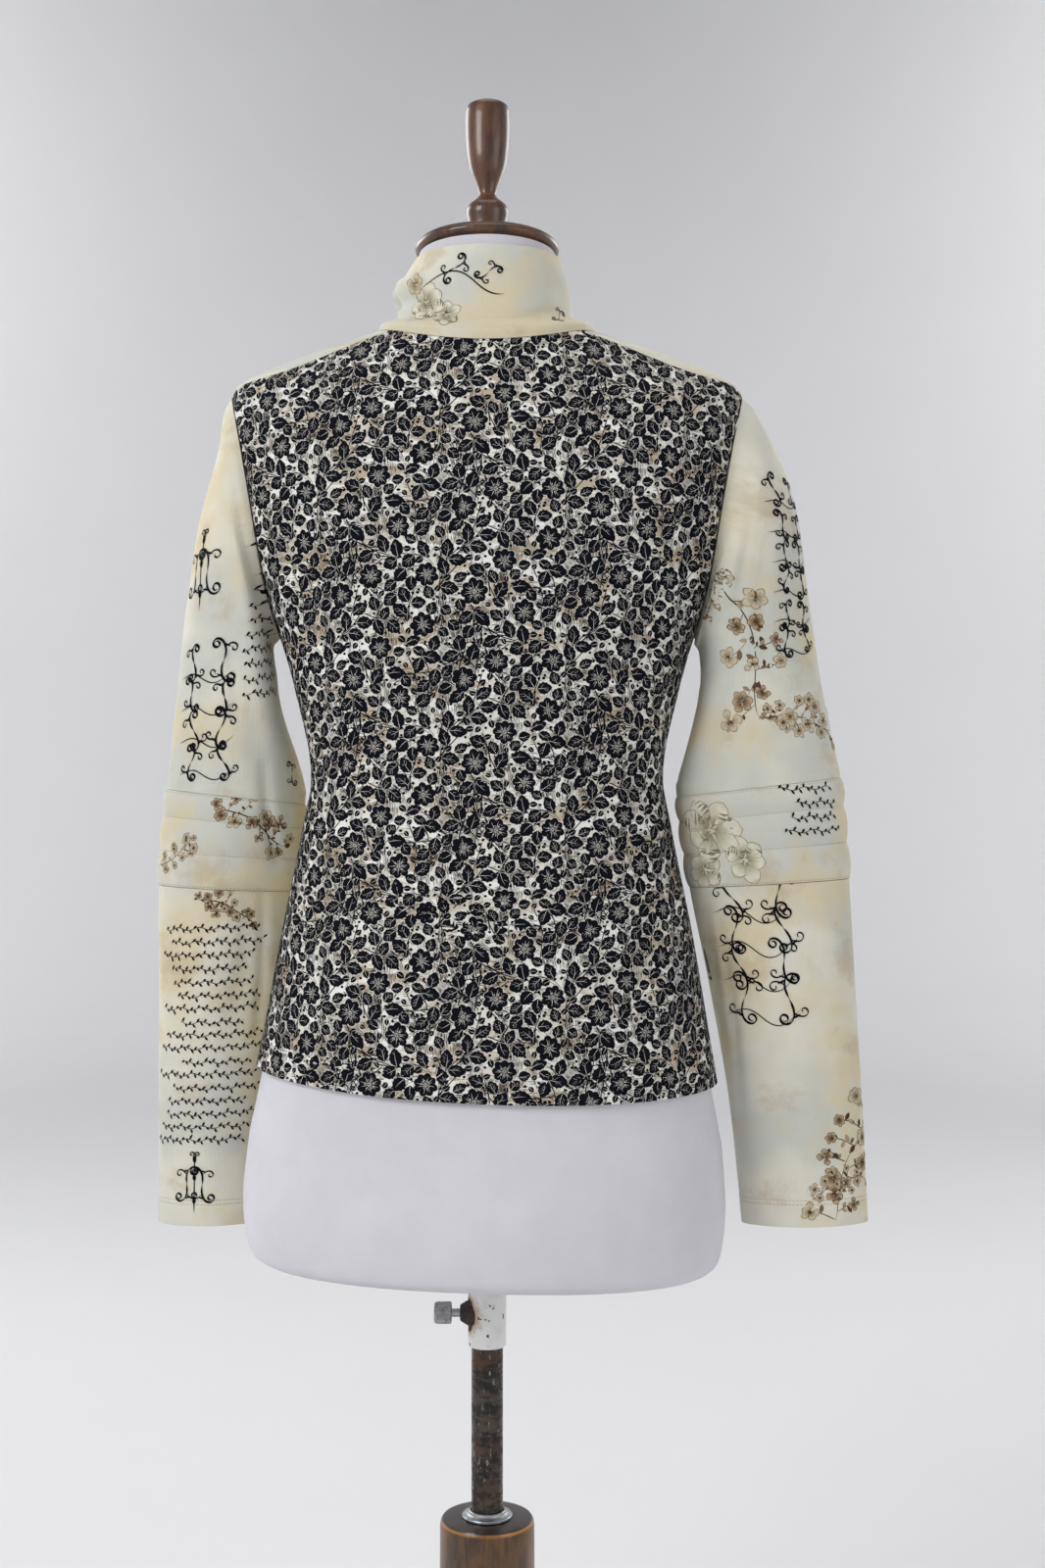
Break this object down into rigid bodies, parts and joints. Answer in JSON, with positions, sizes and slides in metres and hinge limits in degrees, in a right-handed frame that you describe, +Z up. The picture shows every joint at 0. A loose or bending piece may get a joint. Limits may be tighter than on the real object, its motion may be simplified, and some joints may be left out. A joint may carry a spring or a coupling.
{
  "type": "track jacket on a dress form",
  "caption": "Fitted zip track jacket with a tall stand collar, floral back and printed cream sleeves with stitched elbow bands, on a dress form.",
  "frame": {"origin": "middle of the base's underside, on the pole's axis", "axes": "+Z up, +Y out of the jacket's front, +X to the wearer's right"},
  "size_m": [0.564, 0.38, 1.4221],
  "materials": {
    "floral_jersey": "printed jersey, matt",
    "cream_jersey": "printed jersey, matt",
    "zip_tape": "woven tape with moulded teeth",
    "form_cover": "stretched white cotton, matt",
    "dark_wood": "stained and varnished",
    "column_wood": "stained and varnished",
    "white_paint": "chipped white paint",
    "old_steel": "darkened, worn bright in patches",
    "bright_steel": "worn plain steel"
  },
  "bodies": {
    "stand": {"base": "column_wood", "column": "column_wood", "pole": "old_steel", "pole_flange": "bright_steel"},
    "form": {"dress_form": "form_cover", "neck_cap": "dark_wood", "finial": "dark_wood", "socket": "white_paint", "clamp_screw": "bright_steel", "back": "floral_jersey", "front_right": "cream_jersey", "front_left": "cream_jersey", "collar": "cream_jersey", "zip": "zip_tape", "zip_slider": "bright_steel", "sleeve_upper_right": "cream_jersey", "sleeve_upper_left": "cream_jersey", "elbow_band_right": "cream_jersey", "elbow_band_left": "cream_jersey", "sleeve_lower_right": "cream_jersey", "sleeve_lower_left": "cream_jersey"},
    "pull": {"pull_tab": "bright_steel"}
  },
  "joints": [
    {"name": "form_height", "type": "slide", "parent": "stand", "child": "form", "axis": [0, 0, 1], "range_m": [-0.12, 0.2]},
    {"name": "pull_hinge", "type": "hinge", "parent": "form", "child": "pull", "pos_m": [0, 0.07355, 1.26812], "axis": [1, 0, 0], "range_deg": [0, 150]}
  ]
}
